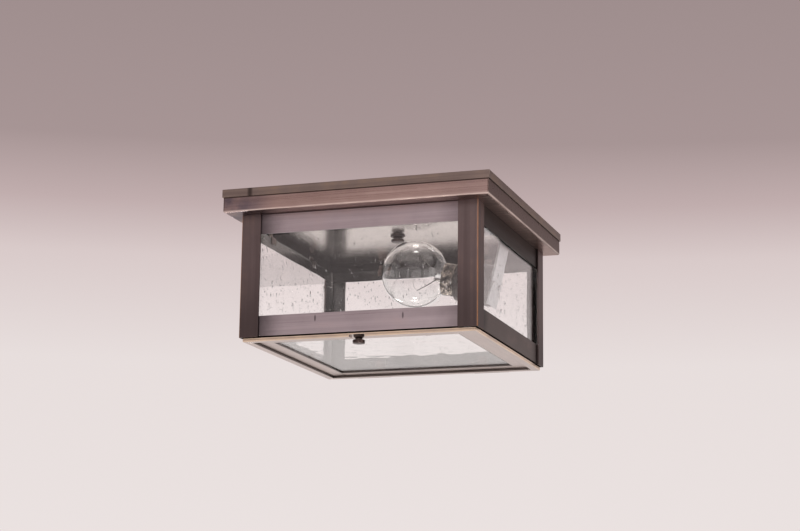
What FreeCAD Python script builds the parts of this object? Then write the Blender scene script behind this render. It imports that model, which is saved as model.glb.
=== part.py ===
import FreeCAD, Part
import math
import os

# Square porch ceiling lantern in soldered brass strip, with seedy glass in four sides and in a bottom
# door, one clear globe bulb on a side bracket, and a canopy pan that a thumb nut pulls up to the ceiling.
# Millimetres. The origin is the centre of the ceiling plane, +Z is up, the door knob is at the front
# (-Y) and the lampholder is at the right (+X).

Vector = FreeCAD.Vector

# ---------------------------------------------------------------- driving dimensions

# canopy: a folded pan with a flat lip strip soldered round its top edge
CANOPY_WIDTH = 215.9
CANOPY_HEIGHT = 18.3
LIP_HEIGHT = 6.35
LIP_THICKNESS = 0.8
PAN_WALL = 1.0
PAN_BEND_RADIUS = 1.6
REFLECTOR_THICKNESS = 0.8

# body frame: angle posts with flat rails soldered inside them
BODY_WIDTH = 191.7
POST_LEG = 15.9
POST_WALL = 1.5
POST_EDGE_RADIUS = 1.1
BODY_HEIGHT = 97.0
RAIL_HEIGHT = 15.9
RAIL_WALL = 1.5
RAIL_EDGE_RADIUS = 0.4
BOTTOM_RAIL_RISE = 0.7

# glass and the bent clips that hold it
PANE_THICKNESS = 3.0
PANE_OVERLAP = 8.0
PANE_EDGE_GAP = 1.0
CLIP_WALL = 0.6
CLIP_WIDTH = 8.0
CLIP_FOOT = 4.6
CLIP_REACH = 4.8
CLIP_SPACING = 90.0
CLIP_EDGE_GAP = 0.3

# bottom door: wide strips with a narrow rim strip soldered under their outer edge
DOOR_WIDTH = 186.8
DOOR_GAP = 0.3
DOOR_STRIP = 19.05
DOOR_STRIP_WALL = 1.0
DOOR_RIM = 6.35
DOOR_RIM_HEIGHT = 1.8
DOOR_RIM_EDGE_RADIUS = 0.4
DOOR_GLASS_OVERLAP = 5.2
KNOB_NOTCH = 12.6

# back hinges
HINGE_SPACING = 104.0
HINGE_WIDTH = 30.0
HINGE_KNUCKLE_RADIUS = 2.0
HINGE_LEAF = 0.95
HINGE_LEAF_HEIGHT = 11.0
HINGE_PIN_RADIUS = 0.8
HINGE_PIN_CLEARANCE = 0.05
HINGE_SIDE_GAP = 0.3
HINGE_PIN_HEAD = 0.6

# number 8-32 screw thread, which both thumb knobs and the bracket screws have
SCREW_RADIUS = 2.08
SCREW_HOLE_RADIUS = 2.4
SEAT_GAP = 0.15
THREAD_CLEARANCE = 0.08

# thumb knobs: a washer, a tapered waist and a flanged head
DOOR_KNOB_HEAD_RADIUS = 4.7
DOOR_KNOB_HEIGHT = 5.9
DOOR_KNOB_INSET = 4.8
DOOR_SCREW_ABOVE_TAB = 3.1
CENTRE_KNOB_HEAD_RADIUS = 5.3
CENTRE_KNOB_HEIGHT = 4.9
WASHER_THICKNESS = 0.7

# catch tab that the door screw enters
CATCH_WIDTH = 12.0
CATCH_WALL = 1.5
CATCH_LEG_HEIGHT = 7.0
CATCH_REACH = 9.2

# ceiling crossbar, its slots for the outlet box screws, and the centre stud
CROSSBAR_LENGTH = 108.0
CROSSBAR_WIDTH = 19.0
CROSSBAR_WALL = 2.0
BOX_SCREW_SPACING = 88.9
BOX_SLOT_LENGTH = 12.0
BOX_SLOT_RADIUS = 2.3
LOCKNUT_ACROSS_FLATS = 8.7
LOCKNUT_HEIGHT = 3.2
STUD_BELOW_REFLECTOR = 4.3
GROUND_SCREW_X = -24.0
GROUND_SCREW_RADIUS = 2.4
GROUND_SCREW_HEAD_RADIUS = 4.6

# lead entry through the pan
LEAD_HOLE_X = 54.0
LEAD_HOLE_Y = 25.0
BUSHING_BORE_RADIUS = 4.0
BUSHING_WALL = 1.2
BUSHING_FLANGE = 2.4
BUSHING_FLANGE_HEIGHT = 1.4

# bulb: clear globe on a medium screw cap, lying along X with its tip a little raised
BULB_CENTRE_X = 15.2
BULB_CENTRE_Z = -52.0
BULB_TILT = 12.0
GLOBE_RADIUS = 27.0
GLOBE_WALL = 0.8
NECK_RADIUS = 12.3
BULB_LENGTH = 78.7
CAP_RADIUS = 13.1
CAP_WALL = 0.4
CAP_THREAD_DEPTH = 0.75
CAP_THREAD_PITCH = 3.63
CAP_THREADS = 4
CAP_LENGTH = 22.5
STEM_RADIUS = 3.2
PRESS_POSITION = 17.0
LEAD_WIRE_RADIUS = 0.35
FILAMENT_WIRE_RADIUS = 0.3
FILAMENT_HALF_SPAN = 12.7
FILAMENT_POSITION = 4.5

# lampholder and its bracket
LAMPHOLDER_EXPOSED_CAP = 11.0
LAMPHOLDER_RADIUS = 15.6
LAMPHOLDER_BASE_RADIUS = 16.6
LAMPHOLDER_BACK = 65.0
LAMPHOLDER_BORE_CLEARANCE = 0.35
LAMPHOLDER_SHELL_WALL = 0.5
CONTACT_GAP = 0.3
BRACKET_WALL = 1.5
BRACKET_WIDTH = 24.0
BRACKET_BELOW_AXIS = 16.0
BRACKET_FOOT = 27.0
BRACKET_SCREW_SPACING = 12.0
HOLDER_SCREW_SPACING = 17.0
HOLDER_SCREW_RADIUS = 1.7

# ---------------------------------------------------------------- derived places

canopy_half = CANOPY_WIDTH / 2
pan_half = canopy_half - LIP_THICKNESS
pan_underside = -CANOPY_HEIGHT
pan_floor = pan_underside + PAN_WALL
reflector_underside = pan_underside - REFLECTOR_THICKNESS

body_half = BODY_WIDTH / 2
rail_face = body_half - POST_WALL
rail_inner = rail_face - RAIL_WALL
pane_inner = rail_inner - PANE_THICKNESS
post_bottom = pan_underside - BODY_HEIGHT
bottom_rail_low = post_bottom + BOTTOM_RAIL_RISE
bottom_rail_high = bottom_rail_low + RAIL_HEIGHT
top_rail_low = pan_underside - RAIL_HEIGHT
pane_top = top_rail_low + PANE_OVERLAP
pane_bottom = bottom_rail_high - PANE_OVERLAP

door_half = DOOR_WIDTH / 2
door_top = post_bottom - DOOR_GAP
strip_underside = door_top - DOOR_STRIP_WALL
rim_underside = strip_underside - DOOR_RIM_HEIGHT
door_opening_half = door_half - DOOR_STRIP
door_glass_half = door_opening_half + DOOR_GLASS_OVERLAP
door_glass_top = door_top + PANE_THICKNESS

hinge_y = rail_face + HINGE_KNUCKLE_RADIUS
hinge_z = door_top

door_knob_y = DOOR_KNOB_INSET - door_half
catch_top = bottom_rail_low + CATCH_WALL
door_screw_top = catch_top + DOOR_SCREW_ABOVE_TAB

bulb_end = BULB_LENGTH - GLOBE_RADIUS
cap_start = bulb_end - CAP_LENGTH - 3.2
holder_mouth = cap_start + LAMPHOLDER_EXPOSED_CAP
holder_shell_radius = CAP_RADIUS + LAMPHOLDER_BORE_CLEARANCE
holder_bore_radius = holder_shell_radius + LAMPHOLDER_SHELL_WALL
contact_top = bulb_end + CONTACT_GAP
holder_floor = contact_top + 3.4

pieces = {}


# ---------------------------------------------------------------- small makers

def block(x0, x1, y0, y1, z0, z1):
    """A box between two corners, given as ranges in any order."""
    low = Vector(min(x0, x1), min(y0, y1), min(z0, z1))
    return Part.makeBox(abs(x1 - x0), abs(y1 - y0), abs(z1 - z0), low)


def rod(x, y, z0, z1, radius):
    """An upright cylinder."""
    return Part.makeCylinder(radius, abs(z1 - z0), Vector(x, y, min(z0, z1)), Vector(0, 0, 1))


def plate(points, normal):
    """A flat outline of corner points, pushed along a vector."""
    wire = Part.makePolygon([Vector(*p) for p in points + points[:1]])
    return Part.Face(wire).extrude(Vector(*normal))


def turned(profile):
    """A solid turned about +Z from (radius, height) corners; a 4-long entry is an arc via its first pair."""
    edges = []
    start = Vector(profile[0][0], 0, profile[0][1])
    for entry in profile[1:] + profile[:1]:
        end = Vector(entry[-2], 0, entry[-1])
        if len(entry) == 4:
            via = Vector(entry[0], 0, entry[1])
            edges.append(Part.Arc(start, via, end).toShape())
        elif (end - start).Length > 1e-6:
            edges.append(Part.LineSegment(start, end).toShape())
        start = end
    face = Part.Face(Part.Wire(edges))
    return face.revolve(Vector(0, 0, 0), Vector(0, 0, 1), 360)


def crown(radius, edge, top):
    """A profile entry for a shallow dome: the arc of one sphere from (radius, edge) to the axis at `top`."""
    rise = top - edge
    sphere = (radius ** 2 + rise ** 2) / (2 * rise)
    half_turn = 0.5 * math.asin(radius / abs(sphere))
    middle = top - sphere + sphere * math.cos(half_turn)
    return (abs(sphere) * math.sin(half_turn), middle, 0, top)


def quarter_turned(shape, quarters):
    """A copy turned about the lantern's upright axis by whole quarter turns."""
    copy = shape.copy()
    copy.rotate(Vector(0, 0, 0), Vector(0, 0, 1), 90 * quarters)
    return copy


def rounded(shape, radius, wanted):
    """Rounds the straight edges that a test of their two ends picks out."""
    edges = [e for e in shape.Edges if len(e.Vertexes) == 2 and wanted(e.Vertexes[0].Point, e.Vertexes[1].Point)]
    return shape.makeFillet(radius, edges)


def keep(name, shape):
    """Files one piece, or one group of identical pieces, under its node name."""
    pieces[name] = shape


# ---------------------------------------------------------------- canopy

def canopy_pan():
    """One folded tray, open towards the ceiling, with holes for stud, leads and bracket screws."""
    tray = block(-pan_half, pan_half, -pan_half, pan_half, pan_underside, 0)
    tray = rounded(tray, PAN_BEND_RADIUS, lambda a, b: a.z == b.z == pan_underside)
    hollow_half = pan_half - PAN_WALL
    tray = tray.cut(block(-hollow_half, hollow_half, -hollow_half, hollow_half, pan_floor, 1))
    tray = tray.cut(rod(0, 0, pan_underside - 1, 1, SCREW_HOLE_RADIUS))
    tray = tray.cut(rod(LEAD_HOLE_X, LEAD_HOLE_Y, pan_underside - 1, 1, BUSHING_BORE_RADIUS + BUSHING_WALL))
    for x in bracket_screw_places():
        tray = tray.cut(rod(x, 0, pan_underside - 1, 1, SCREW_HOLE_RADIUS))
    return tray


def lip_strip(quarters):
    """One mitred side of the flat strip round the top edge."""
    outer, inner = canopy_half, pan_half
    strip = plate(
        [(-outer, -outer, -LIP_HEIGHT), (outer, -outer, -LIP_HEIGHT),
         (inner, -inner, -LIP_HEIGHT), (-inner, -inner, -LIP_HEIGHT)],
        (0, 0, LIP_HEIGHT),
    )
    return quarter_turned(strip, quarters)


def reflector_plate():
    """Satin plate that is the lantern's bright inner ceiling."""
    half = rail_inner - 0.25
    sheet = block(-half, half, -half, half, reflector_underside, pan_underside)
    sheet = sheet.cut(rod(0, 0, -30, 0, SCREW_HOLE_RADIUS))
    sheet = sheet.cut(rod(LEAD_HOLE_X, LEAD_HOLE_Y, -30, 0, BUSHING_BORE_RADIUS + BUSHING_WALL))
    for x in bracket_screw_places():
        sheet = sheet.cut(rod(x, 0, -30, 0, SCREW_HOLE_RADIUS))
    return sheet


def lead_bushing():
    """Snap bushing: a sleeve through pan and reflector with a flange on each side."""
    bore = BUSHING_BORE_RADIUS
    sleeve = bore + BUSHING_WALL
    flange = sleeve + BUSHING_FLANGE
    high = pan_floor
    low = reflector_underside
    shape = turned([
        (bore, low - BUSHING_FLANGE_HEIGHT), (flange - 0.6, low - BUSHING_FLANGE_HEIGHT),
        (flange, low - 0.6), (flange, low), (sleeve, low), (sleeve, high), (flange, high),
        (flange, high + 0.6), (flange - 0.6, high + BUSHING_FLANGE_HEIGHT), (bore, high + BUSHING_FLANGE_HEIGHT),
    ])
    shape.translate(Vector(LEAD_HOLE_X, LEAD_HOLE_Y, 0))
    return shape


# ---------------------------------------------------------------- ceiling fixing

def crossbar():
    """Steel strap with rounded ends, two box screw slots, a stud hole and a ground screw hole."""
    end = CROSSBAR_WIDTH / 2
    reach = CROSSBAR_LENGTH / 2 - end
    bar = block(-reach, reach, -end, end, -CROSSBAR_WALL, 0)
    for x in (-reach, reach):
        bar = bar.fuse(rod(x, 0, -CROSSBAR_WALL, 0, end))
    bar = bar.removeSplitter()
    straight = BOX_SLOT_LENGTH / 2 - BOX_SLOT_RADIUS
    for side in (-1, 1):
        middle = side * BOX_SCREW_SPACING / 2
        slot = block(middle - straight, middle + straight, -BOX_SLOT_RADIUS, BOX_SLOT_RADIUS, -9, 9)
        for x in (middle - straight, middle + straight):
            slot = slot.fuse(rod(x, 0, -9, 9, BOX_SLOT_RADIUS))
        bar = bar.cut(slot.removeSplitter())
    bar = bar.cut(rod(0, 0, -9, 9, SCREW_RADIUS))
    return bar.cut(rod(GROUND_SCREW_X, 0, -9, 9, GROUND_SCREW_RADIUS))


def centre_stud():
    """Threaded stud from the crossbar down through pan and reflector."""
    return rod(0, 0, reflector_underside - STUD_BELOW_REFLECTOR, 0, SCREW_RADIUS)


def hexagon(x, y, z0, z1, across_flats):
    """An upright hexagonal prism."""
    corner = across_flats / math.sqrt(3)
    points = []
    for step in range(6):
        turn = math.radians(60 * step)
        points.append((x + corner * math.cos(turn), y + corner * math.sin(turn), z0))
    return plate(points, (0, 0, z1 - z0))


def nut(x, y, z0, height):
    """A hexagonal nut on an upright screw."""
    return hexagon(x, y, z0, z0 + height, LOCKNUT_ACROSS_FLATS).cut(rod(x, y, z0 - 1, z0 + height + 1, SCREW_RADIUS))


def ground_screw():
    """Slotted hexagon-head screw up through the crossbar."""
    seat = -CROSSBAR_WALL
    head = rod(GROUND_SCREW_X, 0, seat - 2.6, seat, GROUND_SCREW_HEAD_RADIUS)
    slot_half = GROUND_SCREW_HEAD_RADIUS + 1
    slot = block(GROUND_SCREW_X - slot_half, GROUND_SCREW_X + slot_half, -0.6, 0.6, seat - 3, seat - 1.4)
    shank = rod(GROUND_SCREW_X, 0, seat - 0.5, 0, GROUND_SCREW_RADIUS)
    return head.cut(slot).fuse(shank)


# ---------------------------------------------------------------- body frame

def post(quarters):
    """Angle post with a rounded outer edge, front left before turning."""
    b, leg, wall = body_half, POST_LEG, POST_WALL
    shape = plate(
        [(-b, -b, post_bottom), (-b + leg, -b, post_bottom), (-b + leg, -b + wall, post_bottom),
         (-b + wall, -b + wall, post_bottom), (-b + wall, -b + leg, post_bottom), (-b, -b + leg, post_bottom)],
        (0, 0, BODY_HEIGHT),
    )
    corner = Vector(-b, -b, 0)
    shape = rounded(shape, POST_EDGE_RADIUS, lambda p, q: all(
        abs(v.x - corner.x) < 1e-6 and abs(v.y - corner.y) < 1e-6 for v in (p, q)))
    return quarter_turned(shape, quarters)


def rail(low, quarters):
    """Flat strip behind the posts; the front and back ones run the full inside width."""
    reach = rail_face if quarters % 2 == 0 else rail_inner
    shape = block(-reach, reach, -rail_face, -rail_inner, low, low + RAIL_HEIGHT)
    shape = rounded(shape, RAIL_EDGE_RADIUS, lambda p, q: (
        abs(p.y + rail_face) < 1e-6 and abs(q.y + rail_face) < 1e-6 and abs(p.z - q.z) < 1e-6))
    return quarter_turned(shape, quarters)


def pane(quarters):
    """Seedy glass pane that stands against the rails' inner faces."""
    room = rail_inner if quarters % 2 == 0 else pane_inner
    reach = room - PANE_EDGE_GAP
    shape = block(-reach, reach, -rail_inner, -pane_inner, pane_bottom, pane_top)
    return quarter_turned(shape, quarters)


def bent_clip(across, edge, out, seat, glass_face, side):
    """Z-bent clip: foot on the seat, riser past the glass edge, tongue over the glass.

    It lies in a plane of (out, across) pairs and runs along `across` from `side` by its width: `out` and
    `across` are unit vectors, `edge` is the glass edge, `seat` and `glass_face` are distances along out.
    """
    foot = edge - CLIP_EDGE_GAP - CLIP_FOOT
    riser = edge - CLIP_EDGE_GAP
    tongue = edge + CLIP_REACH
    outline = [
        (seat, foot), (seat + CLIP_WALL, foot), (seat + CLIP_WALL, riser - CLIP_WALL),
        (glass_face + CLIP_WALL, riser - CLIP_WALL), (glass_face + CLIP_WALL, tongue),
        (glass_face, tongue), (glass_face, riser), (seat, riser),
    ]
    sideways = out.cross(across)
    points = [out * a + across * b + sideways * side for a, b in outline]
    wire = Part.makePolygon(points + points[:1])
    return Part.Face(wire).extrude(sideways * CLIP_WIDTH)


def pane_clips():
    """Two clips on each rail, sixteen in all."""
    clips = []
    inward = Vector(0, 1, 0)
    for quarters in range(4):
        for side in (-CLIP_SPACING / 2, CLIP_SPACING / 2):
            start = side - CLIP_WIDTH / 2
            low = bent_clip(Vector(0, 0, 1), pane_bottom, inward, -rail_inner, -pane_inner, start)
            high = bent_clip(Vector(0, 0, -1), -pane_top, inward, -rail_inner, -pane_inner, start)
            clips += [quarter_turned(low, quarters), quarter_turned(high, quarters)]
    return Part.makeCompound(clips)


def catch_tab():
    """Small angle on the front rail that takes the door screw."""
    half = CATCH_WIDTH / 2
    leg = block(-half, half, -rail_inner, -rail_inner + CATCH_WALL, bottom_rail_low, bottom_rail_low + CATCH_LEG_HEIGHT)
    foot = block(-half, half, -rail_inner, -rail_inner + CATCH_REACH, bottom_rail_low, catch_top)
    hole = rod(0, door_knob_y, bottom_rail_low - 1, catch_top + 1, SCREW_HOLE_RADIUS)
    return leg.fuse(foot).removeSplitter().cut(hole)


# ---------------------------------------------------------------- bottom door

def door_side_strip(side):
    """Left or right strip, which runs the door's whole depth."""
    return block(side * door_half, side * door_opening_half, -door_half, door_half, strip_underside, door_top)


def door_end_strip(side):
    """Front or back strip, which butts between the side strips."""
    reach = door_opening_half
    shape = block(-reach, reach, side * door_half, side * door_opening_half, strip_underside, door_top)
    if side < 0:
        shape = shape.cut(rod(0, door_knob_y, strip_underside - 1, door_top + 1, SCREW_HOLE_RADIUS))
    return shape


def door_rim(quarters):
    """One mitred side of the narrow rim under the strips; the front one leaves room for the knob."""
    outer, inner = door_half, door_half - DOOR_RIM
    shape = plate(
        [(-outer, -outer, rim_underside), (outer, -outer, rim_underside),
         (inner, -inner, rim_underside), (-inner, -inner, rim_underside)],
        (0, 0, DOOR_RIM_HEIGHT),
    )
    shape = rounded(shape, DOOR_RIM_EDGE_RADIUS, lambda p, q: (
        abs(p.y + outer) < 1e-6 and abs(q.y + outer) < 1e-6 and abs(p.z - rim_underside) < 1e-6
        and abs(q.z - rim_underside) < 1e-6))
    if quarters == 0:
        notch = block(-KNOB_NOTCH / 2, KNOB_NOTCH / 2, -outer - 1, -inner + 1, rim_underside - 1, strip_underside)
        shape = shape.cut(notch)
    return quarter_turned(shape, quarters)


def door_glass():
    """Glass that lies on the strips."""
    half = door_glass_half
    return block(-half, half, -half, half, door_top, door_glass_top)


def door_glass_clips():
    """Two clips on each strip, eight in all, which hold the glass down."""
    clips = []
    for quarters in range(4):
        for side in (-CLIP_SPACING / 2, CLIP_SPACING / 2):
            clip = bent_clip(Vector(0, 1, 0), -door_glass_half, Vector(0, 0, 1), door_top, door_glass_top,
                             side - CLIP_WIDTH / 2)
            clips.append(quarter_turned(clip, quarters))
    return Part.makeCompound(clips)


# ---------------------------------------------------------------- hinges

def hinge_knuckle(x0, x1):
    """A tube round the hinge line."""
    return Part.makeCylinder(HINGE_KNUCKLE_RADIUS, x1 - x0, Vector(x0, hinge_y, hinge_z), Vector(1, 0, 0))


def hinge_bore():
    """The hole for the pin, longer than both hinges together."""
    reach = HINGE_SPACING
    radius = HINGE_PIN_RADIUS + HINGE_PIN_CLEARANCE
    return Part.makeCylinder(radius, 2 * reach, Vector(-reach, hinge_y, hinge_z), Vector(1, 0, 0))


def hinge_body_leaf(middle):
    """Leaf on the back rail with a knuckle at each end."""
    x0, x1 = middle - HINGE_WIDTH / 2, middle + HINGE_WIDTH / 2
    third = HINGE_WIDTH / 3
    leaf_low = hinge_z + HINGE_KNUCKLE_RADIUS + HINGE_SIDE_GAP
    leaf = block(x0, x1, rail_face, rail_face + HINGE_LEAF, leaf_low, leaf_low + HINGE_LEAF_HEIGHT)
    for start in (x0, x1 - third + HINGE_SIDE_GAP):
        end = start + third - HINGE_SIDE_GAP
        leaf = leaf.fuse(block(start, end, rail_face, rail_face + HINGE_LEAF, hinge_z, leaf_low))
        leaf = leaf.fuse(hinge_knuckle(start, end))
    return leaf.removeSplitter().cut(hinge_bore())


def hinge_door_leaf(middle):
    """Leaf on the door's back edge with one knuckle in the middle."""
    third = HINGE_WIDTH / 3
    x0, x1 = middle - third / 2, middle + third / 2
    edge = block(middle - HINGE_WIDTH / 2, middle + HINGE_WIDTH / 2, door_half, door_half + HINGE_LEAF * 0.7,
                 rim_underside, strip_underside)
    web = block(x0, x1, door_half, hinge_y, hinge_z - HINGE_KNUCKLE_RADIUS, hinge_z - 0.9)
    leaf = edge.fuse(web).fuse(hinge_knuckle(x0, x1))
    return leaf.removeSplitter().cut(hinge_bore())


def hinge_pin(middle):
    """Plain pin with a small head at each end."""
    half = HINGE_WIDTH / 2
    x0 = middle - half - HINGE_SIDE_GAP
    x1 = middle + half + HINGE_SIDE_GAP
    along = Vector(1, 0, 0)
    pin = Part.makeCylinder(HINGE_PIN_RADIUS, x1 - x0, Vector(x0, hinge_y, hinge_z), along)
    head_radius = HINGE_PIN_RADIUS + 0.6
    for start in (x0 - HINGE_PIN_HEAD, x1):
        pin = pin.fuse(Part.makeCylinder(head_radius, HINGE_PIN_HEAD, Vector(start, hinge_y, hinge_z), along))
    return pin


# ---------------------------------------------------------------- thumb knobs

def knob_profile(head_radius, height, seat):
    """Corners of a hanging knob: cone, waist, flanged head and shallow dome, down from its seat."""
    waist = head_radius * 0.57
    cone = head_radius * 0.84
    return [
        (cone, seat), (cone, seat - 0.06 * height), (waist, seat - 0.3 * height),
        (waist, seat - 0.4 * height), (head_radius - 0.3, seat - 0.46 * height),
        (head_radius, seat - 0.5 * height), (head_radius, seat - 0.88 * height),
        (head_radius - 0.3, seat - 0.93 * height), crown(head_radius - 0.3, seat - 0.93 * height, seat - height),
    ]


def washer(x, y, seat, radius):
    """Flat washer on an upright screw, hanging from its seat."""
    disc = rod(x, y, seat - WASHER_THICKNESS, seat, radius)
    return disc.cut(rod(x, y, seat - 9, seat + 1, SCREW_HOLE_RADIUS))


def door_knob():
    """Thumb screw: knob and threaded shank in one, up through door and catch tab."""
    seat = strip_underside - 2 * SEAT_GAP - WASHER_THICKNESS
    knob = turned([(0, seat)] + knob_profile(DOOR_KNOB_HEAD_RADIUS, DOOR_KNOB_HEIGHT, seat))
    knob.translate(Vector(0, door_knob_y, 0))
    return knob.fuse(rod(0, door_knob_y, seat - 1, door_screw_top, SCREW_RADIUS))


def centre_knob():
    """Thumb nut with a blind threaded hole that runs on the centre stud."""
    seat = reflector_underside - 2 * SEAT_GAP - WASHER_THICKNESS
    knob = turned([(0, seat)] + knob_profile(CENTRE_KNOB_HEAD_RADIUS, CENTRE_KNOB_HEIGHT, seat))
    depth = STUD_BELOW_REFLECTOR + 0.3
    return knob.cut(rod(0, 0, reflector_underside - depth, 0, SCREW_RADIUS + THREAD_CLEARANCE))


# ---------------------------------------------------------------- bulb, along +Z from its globe centre

def on_bulb_axis(shape):
    """Lays a piece that was turned about +Z along the tilted bulb axis."""
    turn = FreeCAD.Rotation(Vector(0, 1, 0), 90 + BULB_TILT)
    copy = shape.copy()
    copy.Placement = FreeCAD.Placement(Vector(BULB_CENTRE_X, 0, BULB_CENTRE_Z), turn)
    return copy


def globe_line(radius, neck, end):
    """Half outline of globe and neck, from the tip to the open end."""
    shoulder = 0.5 * math.pi - math.asin((neck + 1.2) / radius)
    meet = (radius * math.cos(shoulder), radius * math.sin(shoulder))
    middle_turn = 0.5 * (shoulder - 0.5 * math.pi)
    middle = (radius * math.cos(middle_turn), radius * math.sin(middle_turn))
    return [(0, -radius), middle + meet, (neck, meet[1] + 2.0), (neck, end)]


def bulb_globe():
    """Blown glass envelope: globe and short neck, open where the cap covers it."""
    end = cap_start + 4.0
    outer = globe_line(GLOBE_RADIUS, NECK_RADIUS, end)
    inner = globe_line(GLOBE_RADIUS - GLOBE_WALL, NECK_RADIUS - GLOBE_WALL, end + 1)
    solid = turned(outer + [(0, end)])
    return solid.cut(turned(inner + [(0, end + 1)]))


def bulb_cap():
    """Aluminium screw cap: collar, rounded threads and tapered end, thin throughout."""
    r = CAP_RADIUS
    root = r - CAP_THREAD_DEPTH
    start = cap_start
    thread_start = start + 4.2
    profile = [(r, start), (r, start + 3.2), (root, thread_start)]
    z = thread_start
    for _ in range(CAP_THREADS):
        profile.append((r, z + CAP_THREAD_PITCH / 2, root, z + CAP_THREAD_PITCH))
        z += CAP_THREAD_PITCH
    end = start + CAP_LENGTH
    profile += [(root, end - 2.0), (9.6, end), (9.6 - CAP_WALL, end), (root - CAP_WALL, end - 2.0 - CAP_WALL)]
    profile += [(root - CAP_WALL, thread_start + 0.2), (NECK_RADIUS + 0.05, thread_start - 0.2)]
    profile += [(NECK_RADIUS + 0.05, start)]
    return turned(profile)


def bulb_cap_insulator():
    """Black glass cone between cap and end contact."""
    end = cap_start + CAP_LENGTH
    return turned([(0, end - 0.6), (9.2, end - 0.6), (9.2, end), (8.8, end + 0.6), (4.6, end + 2.2), (0, end + 2.2)])


def bulb_contact():
    """Soldered end contact."""
    seat = cap_start + CAP_LENGTH + 2.2
    return turned([(0, seat), (4.4, seat), (4.2, seat + 0.6), crown(4.2, seat + 0.6, bulb_end)])


def bulb_stem():
    """Glass stem: flare in the neck, thin tube and flattened press."""
    flare = NECK_RADIUS - GLOBE_WALL - 0.1
    root = cap_start + 3.0
    return turned([
        (0, PRESS_POSITION), (2.4, PRESS_POSITION + 0.6), (STEM_RADIUS, PRESS_POSITION + 2.0), (STEM_RADIUS, 20.5),
        (5.2, root - 2.2, flare, root), (0, root),
    ])


def bulb_filament():
    """Two lead wires from the press, with the arched filament between their tips."""
    wires = []
    for side in (-1, 1):
        foot = Vector(side * 1.4, 0, PRESS_POSITION + 1.5)
        bend = Vector(side * 3.4, 0, PRESS_POSITION - 0.5)
        tip = Vector(side * FILAMENT_HALF_SPAN, 0, FILAMENT_POSITION)
        for a, b in ((foot, bend), (bend, tip)):
            wires.append(Part.makeCylinder(LEAD_WIRE_RADIUS, (b - a).Length, a, b - a))
        wires.append(Part.makeSphere(LEAD_WIRE_RADIUS, bend))
    left = Vector(-FILAMENT_HALF_SPAN, 0, FILAMENT_POSITION)
    top = Vector(0, 0, FILAMENT_POSITION - 6.0)
    right = Vector(FILAMENT_HALF_SPAN, 0, FILAMENT_POSITION)
    arch = Part.Wire([Part.Arc(left, top, right).toShape()])
    tangent = arch.Edges[0].tangentAt(arch.Edges[0].FirstParameter)
    ring = Part.Wire([Part.makeCircle(FILAMENT_WIRE_RADIUS, left, tangent)])
    coil = arch.makePipeShell([ring], True, False)
    return wires[0].fuse(wires[1:] + [coil])


# ---------------------------------------------------------------- lampholder and bracket

def lampholder_body():
    """Moulded keyless lampholder: collar, stepped base and bore."""
    front, back = holder_mouth, LAMPHOLDER_BACK
    r, base = LAMPHOLDER_RADIUS, LAMPHOLDER_BASE_RADIUS
    shape = turned([
        (holder_bore_radius, front), (r - 1.0, front), (r, front + 1.0), (r, front + 11.0), (base, front + 13.0),
        (base, back - 1.0), (base - 1.0, back), (0, back), (0, holder_floor), (holder_bore_radius, holder_floor),
    ])
    for side in (-1, 1):
        hole = Part.makeCylinder(HOLDER_SCREW_RADIUS, 6.0, Vector(0, side * HOLDER_SCREW_SPACING / 2, back - 6.0),
                                 Vector(0, 0, 1))
        shape = shape.cut(hole)
    return shape


def lampholder_shell():
    """Thin screw shell that lines the bore."""
    front = holder_mouth + 1.5
    back = contact_top - 0.5
    return turned([
        (holder_shell_radius, front), (holder_bore_radius, front), (holder_bore_radius, back),
        (holder_shell_radius, back),
    ])


def lampholder_contact():
    """Sprung brass tongue under the bulb's end contact."""
    wall = 0.5
    floor, high = holder_floor, contact_top
    outline = [
        (-9.0, 0, floor - wall), (-5.0, 0, floor - wall), (0.5, 0, high), (4.0, 0, high), (4.0, 0, high + wall),
        (0.8, 0, high + wall), (-4.7, 0, floor), (-9.0, 0, floor),
    ]
    tongue = plate(outline, (0, 7.0, 0))
    tongue.translate(Vector(0, -3.5, 0))
    return tongue


def axis_point(along, above):
    """A point beside the bulb axis, `along` it from the globe centre and `above` it, in the XZ plane."""
    tilt = math.radians(BULB_TILT)
    x = BULB_CENTRE_X + along * math.cos(tilt) + above * math.sin(tilt)
    z = BULB_CENTRE_Z - along * math.sin(tilt) + above * math.cos(tilt)
    return x, z


def above_axis_at(along, height):
    """How far above the bulb axis a line square to it reaches a given height."""
    tilt = math.radians(BULB_TILT)
    return (height - BULB_CENTRE_Z + along * math.sin(tilt)) / math.cos(tilt)


def bracket_bend_x():
    """Where the bracket's leg meets its foot."""
    return axis_point(LAMPHOLDER_BACK, above_axis_at(LAMPHOLDER_BACK, reflector_underside))[0]


def bracket_screw_places():
    """X of the two screws through the bracket foot."""
    middle = bracket_bend_x() - 2.0 - BRACKET_FOOT / 2
    return [middle - BRACKET_SCREW_SPACING / 2, middle + BRACKET_SCREW_SPACING / 2]


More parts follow.
